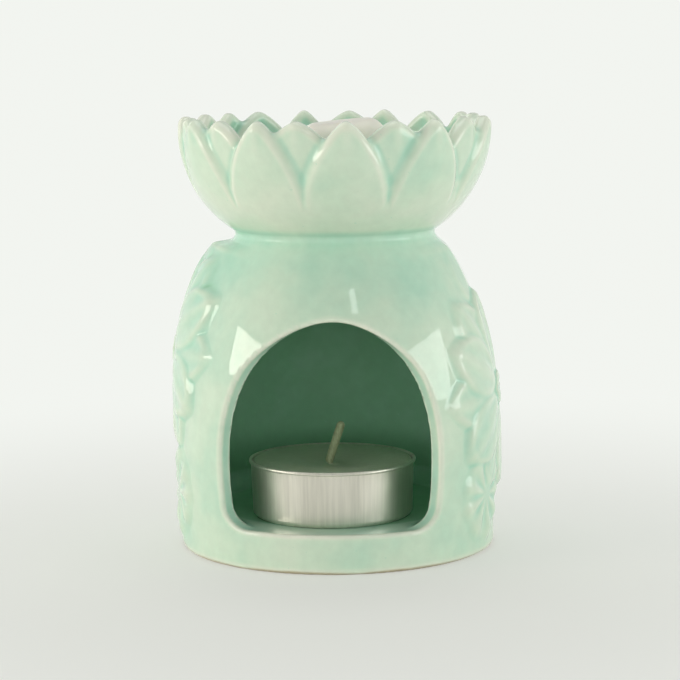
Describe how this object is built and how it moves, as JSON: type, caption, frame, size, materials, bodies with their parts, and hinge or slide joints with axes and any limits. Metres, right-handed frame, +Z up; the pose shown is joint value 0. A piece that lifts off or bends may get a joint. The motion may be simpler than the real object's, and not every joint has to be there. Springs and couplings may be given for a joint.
{
  "type": "essential oil burner",
  "caption": "Celadon-glazed ceramic oil burner: a domed housing with a hand-cut arch for a tealight, carrying a lotus dish for oil or a wax melt above the flame.",
  "frame": {"origin": "centre of the base, on the surface it stands on", "axes": "+Z up, the arch faces -Y, +X to the right of the arch as seen from the front"},
  "size_m": [0.0774, 0.0737, 0.1],
  "materials": {
    "celadon_glaze": "glossy celadon glaze, paler on edges and darker where it pools",
    "pooled_glaze": "glossy celadon glaze, pooled and darker",
    "cup_aluminium": "satin drawn sheet",
    "paraffin": "paraffin wax, satin and translucent",
    "wick_cotton": "waxed cotton braid",
    "sustainer_steel": "tinned sheet",
    "melt_wax": "scented soy wax, satin and translucent"
  },
  "bodies": {
    "burner": {"burner_body": "celadon_glaze", "slip_joint": "pooled_glaze", "lotus_bowl": "celadon_glaze", "left_spray": "celadon_glaze", "right_spray": "celadon_glaze"},
    "tealight": {"tealight_cup": "cup_aluminium"},
    "candle": {"tealight_wax": "paraffin", "tealight_wick": "wick_cotton", "wick_sustainer": "sustainer_steel"},
    "melt": {"wax_melt": "melt_wax"}
  },
  "joints": [
    {"name": "tealight_slide", "type": "slide", "parent": "burner", "child": "tealight", "axis": [0, -0.9903, 0.1392], "range_m": [0, 0.075]},
    {"name": "candle_lift", "type": "slide", "parent": "tealight", "child": "candle", "axis": [0, 0, 1], "range_m": [0, 0.016]},
    {"name": "melt_lift", "type": "slide", "parent": "burner", "child": "melt", "axis": [0, 0, 1], "range_m": [0, 0.03]}
  ]
}
